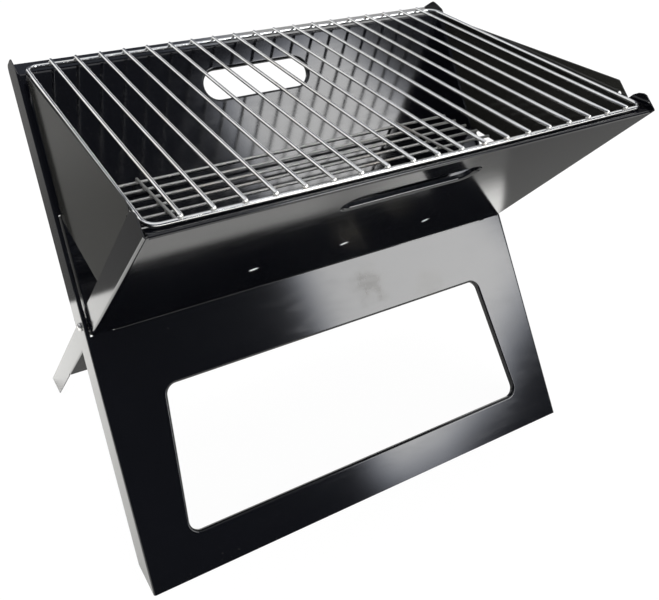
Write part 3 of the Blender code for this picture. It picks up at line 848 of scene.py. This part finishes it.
# ---------------------------------------------------------------- wires
def sweep(name, centres, radius, mat, closed=False, steps=16, upright=Z):
    """A round wire along a path, with softly rounded ends."""
    bm = bmesh.new()
    count = len(centres)
    rings = []
    for i, centre in enumerate(centres):
        before = centres[i - 1] if (closed or i > 0) else centres[i]
        after = centres[(i + 1) % count] if (closed or i < count - 1) else centres[i]
        along = (after - before).normalized()
        side = along.cross(upright).normalized()
        top = side.cross(along)
        rings.append((centre, along, side, top, radius))
    if not closed:
        first, last = rings[0], rings[-1]
        soft = radius * 0.35
        head, tail = [], []
        for k in range(3):
            a = math.radians(90 * k / 3)
            head.append(
                (
                    first[0] + first[1] * soft * (1 - math.sin(a)) - first[1] * 0,
                    first[1],
                    first[2],
                    first[3],
                    radius - soft + soft * math.sin(a),
                )
            )
            tail.append(
                (
                    last[0] - last[1] * soft * (1 - math.sin(a)),
                    last[1],
                    last[2],
                    last[3],
                    radius - soft + soft * math.sin(a),
                )
            )
        head = [
            (first[0] + first[1] * soft * (1 - math.cos(math.radians(90 * k / 3))),)
            + h[1:4]
            + (radius - soft + soft * math.sin(math.radians(90 * k / 3)),)
            for k, h in enumerate(head)
        ]
        tail = [
            (last[0] - last[1] * soft * (1 - math.cos(math.radians(90 * k / 3))),)
            + h[1:4]
            + (radius - soft + soft * math.sin(math.radians(90 * k / 3)),)
            for k, h in enumerate(tail)
        ]
        start = (first[0] + first[1] * soft,) + first[1:]
        end = (last[0] - last[1] * soft,) + last[1:]
        rings = head + [start] + rings[1:-1] + [end] + tail[::-1]
    loops = [
        [
            bm.verts.new(
                c
                + side * r * math.cos(2 * math.pi * (k + 0.5) / steps)
                + top * r * math.sin(2 * math.pi * (k + 0.5) / steps)
            )
            for k in range(steps)
        ]
        for c, along, side, top, r in rings
    ]
    pairs = list(zip(loops, loops[1:])) + ([(loops[-1], loops[0])] if closed else [])
    for first, second in pairs:
        for k in range(steps):
            j = (k + 1) % steps
            bm.faces.new((first[k], second[k], second[j], first[j]))
    if not closed:
        bm.faces.new(loops[0][::-1])
        bm.faces.new(loops[-1])
    bmesh.ops.recalc_face_normals(bm, faces=bm.faces)
    obj = add_object(name, bm, mat)
    sharpen(obj, math.radians(60))
    return obj


def beads(name, places, size, mat, tilt=0.0):
    """Small weld beads where wires cross: flattened drops with a slightly uneven skirt."""
    bm = bmesh.new()
    around, up = 12, 6
    for index, place in enumerate(places):
        wobble = 0.12 * math.sin(index * 2.4) + 0.06 * math.sin(index * 5.1)
        rings = []
        for j in range(up + 1):
            b = math.pi * j / up
            ring = []
            for k in range(around):
                a = 2 * math.pi * k / around
                skirt = 1 + 0.10 * math.sin(3 * a + index) * math.sin(b) + wobble * 0.5
                p = Vector(
                    (
                        size[0] * skirt * math.sin(b) * math.cos(a),
                        size[1] * skirt * math.sin(b) * math.sin(a),
                        size[2] * math.cos(b),
                    )
                )
                p.rotate(Matrix.Rotation(tilt, 3, "X"))
                ring.append(p + place)
            rings.append(ring)
        low = bm.verts.new(sum(rings[0], Vector()) / around)
        high = bm.verts.new(sum(rings[-1], Vector()) / around)
        made = [[bm.verts.new(p) for p in ring] for ring in rings[1:-1]]
        for first, second in zip(made, made[1:]):
            for k in range(around):
                m = (k + 1) % around
                bm.faces.new((first[k], second[k], second[m], first[m]))
        for k in range(around):
            m = (k + 1) % around
            bm.faces.new((low, made[0][k], made[0][m]))
            bm.faces.new((made[-1][k], high, made[-1][m]))
    bmesh.ops.recalc_face_normals(bm, faces=bm.faces)
    return add_object(name, bm, mat)


front_z = CROSS_Z + SHORT_TOP * math.sin(LEAN_SHORT) + GAP + FRAME_WIRE
bend_y = LONG_TOP * math.cos(LEAN_LONG)
bend_z = CROSS_Z + LONG_TOP * math.sin(LEAN_LONG) + GAP + FRAME_WIRE
GRID_TILT = math.atan2(bend_z - front_z, bend_y - GRID_FRONT)
grid_centre = Vector(
    (
        0,
        CROSS_Y + (GRID_FRONT + GRID_BACK) / 2,
        front_z + (GRID_BACK - GRID_FRONT) / 2 * math.tan(GRID_TILT),
    )
)
grid_half_y = (GRID_BACK - GRID_FRONT) / 2 / math.cos(GRID_TILT)
ALONG_GRID = Vector((0, math.cos(GRID_TILT), math.sin(GRID_TILT)))
UP_GRID = Vector((0, -math.sin(GRID_TILT), math.cos(GRID_TILT)))


def on_grid(x, y, up=0.0):
    return grid_centre + X * x + ALONG_GRID * y + UP_GRID * up


def bow(x):
    """How far the front wire bows forward of its corners."""
    t = max(0.0, 1 - (x / (GRID_HALF_X - GRID_CORNER)) ** 2)
    return 0.0018 * t


loop = []
r = GRID_CORNER
for cx, cy, first in (
    (GRID_HALF_X - r, grid_half_y - r, 0),
    (-GRID_HALF_X + r, grid_half_y - r, 90),
    (-GRID_HALF_X + r, -grid_half_y + r, 180),
    (GRID_HALF_X - r, -grid_half_y + r, 270),
):
    for k in range(11):
        a = math.radians(first + 90 * k / 10)
        loop.append(on_grid(cx + r * math.cos(a), cy + r * math.sin(a)))
    if first == 180:
        wide = GRID_HALF_X - r
        for k in range(1, 24):
            x = -wide + 2 * wide * k / 24
            loop.append(on_grid(x, -grid_half_y - bow(x)))
grid_frame = sweep(
    "cooking_grid_frame_rod", loop, FRAME_WIRE, M_CHROME, True, 18, UP_GRID
)
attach(grid_frame, "cooking_grid")
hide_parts("cooking_grid_frame_wire")

over = FRAME_WIRE + BAR_WIRE
weld_places = []
for k in range(BARS):
    x = -GRID_HALF_X + 2 * GRID_HALF_X * (k + 1) / (BARS + 1)
    front = -grid_half_y - bow(x) - 0.0015
    back = grid_half_y + 0.0016
    drift = 0.00035 * math.sin(k * 2.1)
    count = 14
    line = []
    for i in range(count + 1):
        t = i / count
        line.append(
            on_grid(
                x + drift * math.sin(math.pi * t),
                front + (back - front) * t,
                over + 0.00015 - 0.00045 * math.sin(math.pi * t),
            )
        )
    bar = sweep(f"cooking_grid_bar_{k + 1:02d}_rod", line, BAR_WIRE, M_CHROME, False, 16, UP_GRID)
    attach(bar, "cooking_grid")
    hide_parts(f"cooking_grid_bar_{k + 1:02d}")
    weld_places.append(on_grid(x, -grid_half_y - bow(x), FRAME_WIRE + 0.0001))
    weld_places.append(on_grid(x, grid_half_y, FRAME_WIRE + 0.0001))
welds = beads(
    "cooking_grid_weld_beads", weld_places, (0.0021, 0.0020, 0.0011), M_WELD, GRID_TILT
)
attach(welds, "cooking_grid")

# ---------------------------------------------------------------- charcoal grate
cross_z = GRATE_Z + 2 * GRATE_WIRE + GAP * 0.5
cross_back = (cross_z - CROSS_Z) / math.tan(LEAN_LONG) - 0.0035
cross_front = -(cross_z - CROSS_Z) / math.tan(LEAN_SHORT) + 0.0035
weld_places = []
for k in range(GRATE_WIRES):
    y = CROSS_Y + GRATE_BACK_Y - k * GRATE_PITCH
    line = []
    for i in range(21):
        t = i / 20
        x = GRATE_X - GRATE_HALF + 2 * GRATE_HALF * t
        line.append(
            Vector(
                (
                    x,
                    y + 0.0004 * math.sin(2.2 * k + 3.0 * t),
                    GRATE_Z - 0.0006 * math.sin(math.pi * t) * abs(math.sin(1.7 * k + 0.4)),
                )
            )
        )
    made = sweep(
        f"charcoal_grate_long_wire_{k + 1:02d}_rod", line, GRATE_WIRE, M_GRATE, False, 14
    )
    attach(made, "charcoal_grate")
    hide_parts(f"charcoal_grate_long_wire_{k + 1:02d}")
    for sign in (-1, 1):
        weld_places.append(Vector((GRATE_X + sign * GRATE_CROSS, y, GRATE_Z + GRATE_WIRE)))
for side, sign in (("left", -1), ("right", 1)):
    line = [
        Vector(
            (
                GRATE_X + sign * GRATE_CROSS + 0.0003 * math.sin(math.pi * i / 10),
                CROSS_Y + cross_front + (cross_back - cross_front) * i / 10,
                cross_z,
            )
        )
        for i in range(11)
    ]
    made = sweep(
        f"charcoal_grate_cross_wire_{side}_rod", line, GRATE_WIRE, M_GRATE, False, 14
    )
    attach(made, "charcoal_grate")
    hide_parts(f"charcoal_grate_cross_wire_{side}")
welds = beads(
    "charcoal_grate_weld_beads", weld_places, (0.0019, 0.0019, 0.0010), M_GRATE_WELD
)
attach(welds, "charcoal_grate")


# ---------------------------------------------------------------- floor and light
def emission_card(name, centre, towards, width, height, strength, soft, tint=(1, 1, 1)):
    """A soft-edged glowing card, unseen by the camera."""
    bm = bmesh.new()
    bmesh.ops.create_grid(bm, x_segments=1, y_segments=1, size=0.5)
    mesh = bpy.data.meshes.new(name)
    bm.to_mesh(mesh)
    bm.free()
    obj = bpy.data.objects.new(name, mesh)
    bpy.context.scene.collection.objects.link(obj)
    look = Vector(towards) - Vector(centre)
    obj.rotation_mode = "QUATERNION"
    obj.rotation_quaternion = look.to_track_quat("Z", "Y")
    obj.location = centre
    obj.scale = (width, height, 1)
    made, n, out = new_material(name)
    where = n("ShaderNodeSeparateXYZ", Vector=n("ShaderNodeTexCoord").outputs["Object"])
    fade = None
    for axis, amount in (("X", soft[0]), ("Y", soft[1])):
        away = n.math("ABSOLUTE", where.outputs[axis])
        step = n.ramp(away, 0.5, 0.5 - amount)
        fade = step if fade is None else n.math("MULTIPLY", fade, step)
    front = n.math("SUBTRACT", 1.0, n("ShaderNodeNewGeometry").outputs["Backfacing"])
    glow = n(
        "ShaderNodeEmission",
        Color=(*tint, 1),
        Strength=n.math("MULTIPLY", n.math("MULTIPLY", fade, front), strength),
    )
    n.put(out.inputs["Surface"], glow)
    mesh.materials.append(made)
    obj.visible_camera = False
    obj.visible_shadow = False
    obj.visible_glossy = False
    obj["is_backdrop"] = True
    return obj


emission_card(
    "overhead_softbox", (0.0, 0.0, 2.1), (0.0, 0.0, 0.0), 2.4, 2.4, 2.4, (0.12, 0.12)
)

bm = bmesh.new()
bmesh.ops.create_grid(bm, x_segments=1, y_segments=1, size=6.0)
mesh = bpy.data.meshes.new("studio_floor")
bm.to_mesh(mesh)
bm.free()
floor = bpy.data.objects.new("studio_floor", mesh)
bpy.context.scene.collection.objects.link(floor)
floor.location = (0, 0, cad_low.z - 0.0002)
made, n, out = new_material("pale_floor")
path_info = n("ShaderNodeLightPath")
place = n("ShaderNodeNewGeometry").outputs["Position"]
parts = n("ShaderNodeSeparateXYZ", Vector=place)
# In reflections the floor's colour is pale up to a line a little behind the grill and up to a sharp edge on the right,
# dim beyond both, and carries painted shadows near the grill.
behind = n.ramp(parts.outputs["Y"], 0.330, 0.342, 1.05, 0.095)
far = n.ramp(parts.outputs["Y"], 0.55, 1.00, 1.0, 1.6)
right = n.ramp(parts.outputs["X"], 0.409, 0.419, 1.0, 0.0)
# Painted shadow: towards the front on the right (x past 0.30–0.36, y under 0.072–0.030) the reflected floor is darkened
# by up to 74%.
corner = n.math(
    "MULTIPLY", n.ramp(parts.outputs["X"], 0.30, 0.36), n.ramp(parts.outputs["Y"], 0.072, 0.030)
)
right = n.math("MULTIPLY", right, n.math("MULTIPLY_ADD", corner, -0.74, 1.0))
# Painted shadow: just in front of the grill (x past 0.08–0.16, y under 0.050–0.028) the reflected floor is darkened by
# up to 30%.
near = n.math(
    "MULTIPLY", n.ramp(parts.outputs["X"], 0.08, 0.16), n.ramp(parts.outputs["Y"], 0.050, 0.028)
)
right = n.math("MULTIPLY", right, n.math("MULTIPLY_ADD", near, -0.30, 1.0))
right = n.math("ADD", right, n.ramp(parts.outputs["X"], 0.409, 0.419, 0.0, 0.127))
right = n.math("MAXIMUM", right, n.ramp(parts.outputs["Y"], -0.30, -0.20, 1.0, 0.0))
# The ground between the legs is in deep shade.
below = n.math(
    "MULTIPLY",
    n.ramp(
        n.math(
            "MULTIPLY_ADD",
            n.math("MAXIMUM", n.math("SUBTRACT", parts.outputs["Y"], 0.135), 0.0),
            0.6,
            n.math("ABSOLUTE", parts.outputs["X"]),
        ),
        0.240,
        0.228,
    ),
    n.math("MULTIPLY", n.ramp(parts.outputs["Y"], 0.045, 0.085), n.ramp(parts.outputs["Y"], 0.27, 0.23)),
)
right = n.math("MULTIPLY", right, n.math("MULTIPLY_ADD", below, -0.85, 1.0))
shade = n.math("MULTIPLY", n.math("MULTIPLY", behind, far), right)
# The floor's colour seen in reflections, scaled by the pale and dim areas and the painted shadows above.
floor_tone_and_painted_shade = n("ShaderNodeVectorMath", {"operation": "SCALE"}, i0=(0.90, 0.895, 0.875), Scale=shade)
mirrored = n("ShaderNodeBsdfDiffuse", Color=floor_tone_and_painted_shade.outputs[0])
shown = n(
    "ShaderNodeAddShader",
    i0=n("ShaderNodeBsdfDiffuse", Color=(0.04, 0.04, 0.04, 1)),
    i1=n("ShaderNodeEmission", Color=(1, 1, 1, 1), Strength=0.955),
)
mixed = n("ShaderNodeMixShader", Fac=path_info.outputs["Is Camera Ray"], i1=mirrored, i2=shown)
n.put(out.inputs["Surface"], mixed)
mesh.materials.append(made)
floor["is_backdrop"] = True

# A tall softbox at the front right and a paler wall at the back right show in the gloss.
world = bpy.data.worlds.new("studio")
bpy.context.scene.world = world
world.use_nodes = True
world.node_tree.nodes.clear()
n = Nodes(world.node_tree)
out = n("ShaderNodeOutputWorld")
path_info = n("ShaderNodeLightPath")
away = n("ShaderNodeSeparateXYZ", Vector=n("ShaderNodeTexCoord").outputs["Generated"])
forward = n.math("MULTIPLY", away.outputs["Y"], -1.0)
azimuth = n.math("DEGREES", n.math("ARCTAN2", away.outputs["X"], forward))
rise = n.math("DEGREES", n.math("ARCSINE", away.outputs["Z"]))


def beyond(value, edge, soft):
    """0 below the edge, 1 above it."""
    gap = n.math("SUBTRACT", value, edge)
    return n.ramp(gap, -soft, soft)


def under(value, edge, soft):
    return n.math("SUBTRACT", 1.0, beyond(value, edge, soft))


def times(*values):
    result = values[0]
    for value in values[1:]:
        result = n.math("MULTIPLY", result, value)
    return result


key = times(
    beyond(azimuth, n.math("MULTIPLY_ADD", rise, 0.12, 25.3), 1.6),
    under(azimuth, n.math("MULTIPLY_ADD", rise, -0.10, 45.3), 1.5),
    beyond(
        rise,
        n.math(
            "MULTIPLY_ADD", n.math("MAXIMUM", n.math("SUBTRACT", azimuth, 31.0), 0.0), 0.55, 10.0
        ),
        2.5,
    ),
    under(rise, 38.5, 2.0),
)
wall = times(
    beyond(azimuth, 118.0, 6.0), under(azimuth, 156.5, 4.0), beyond(rise, 4.0, 2.0), under(rise, 23.0, 3.0)
)
round_azimuth = n.math("MODULO", n.math("ADD", azimuth, 360.0), 360.0)
backdrop = times(
    beyond(round_azimuth, 187.0, 6.0), under(round_azimuth, 240.0, 6.0), under(rise, 44.0, 3.0)
)
ceiling = beyond(rise, 50.0, 6.0)
side = times(
    beyond(azimuth, 72.0, 8.0), under(azimuth, 118.0, 6.0), beyond(rise, 28.0, 4.0), under(rise, 50.0, 4.0)
)
wall = n.math("ADD", n.math("ADD", wall, side), n.math("MULTIPLY", ceiling, 0.85))
strength = n.math("MULTIPLY_ADD", key, 10.4, n.math("MULTIPLY_ADD", wall, 1.0, n.math("MULTIPLY_ADD", backdrop, 1.0, 0.10)))
neutral = n.math("ADD", key, n.math("ADD", wall, backdrop), clamp=True)
tint = n.mix(neutral, (0.86, 0.93, 1.12, 1), (1.0, 1.0, 1.0, 1))
lit = n("ShaderNodeBackground", Color=(1, 1, 1, 1), Strength=1.9)
shiny = n("ShaderNodeBackground", Color=tint, Strength=strength)
n.put(
    out.inputs["Surface"],
    n("ShaderNodeMixShader", Fac=path_info.outputs["Is Glossy Ray"], i1=lit, i2=shiny),
)

# ---------------------------------------------------------------- camera
camera_data = bpy.data.cameras.new("camera")
camera = bpy.data.objects.new("camera", camera_data)
bpy.context.scene.collection.objects.link(camera)
camera.location = (-0.3509, -0.5741 + CROSS_Y, 0.5811)
yaw, pitch = math.radians(30.32), math.radians(-26.37)
gaze = Vector(
    (math.sin(yaw) * math.cos(pitch), math.cos(yaw) * math.cos(pitch), math.sin(pitch))
)
camera.rotation_mode = "QUATERNION"
camera.rotation_quaternion = gaze.to_track_quat("-Z", "Y")
camera_data.sensor_width = 36.0
camera_data.lens = 44.86
camera_data.clip_start = 0.01
camera_data.clip_end = 60
# The picture is framed off the lens axis; from any other place the camera looks straight.
for prop, value in (("shift_x", 0.0353), ("shift_y", -0.1350)):
    driver = camera_data.driver_add(prop).driver
    driver.type = "SCRIPTED"
    variable = driver.variables.new()
    variable.name = "x"
    variable.type = "TRANSFORMS"
    variable.targets[0].id = camera
    variable.targets[0].transform_type = "LOC_X"
    variable.targets[0].transform_space = "WORLD_SPACE"
    driver.expression = f"{value} * (abs(x + 0.3509) < 0.0005)"
bpy.context.scene.camera = camera
bpy.context.scene.view_settings.view_transform = "Standard"
bpy.context.scene.view_settings.look = "None"

bpy.context.view_layer.update()
low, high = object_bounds()
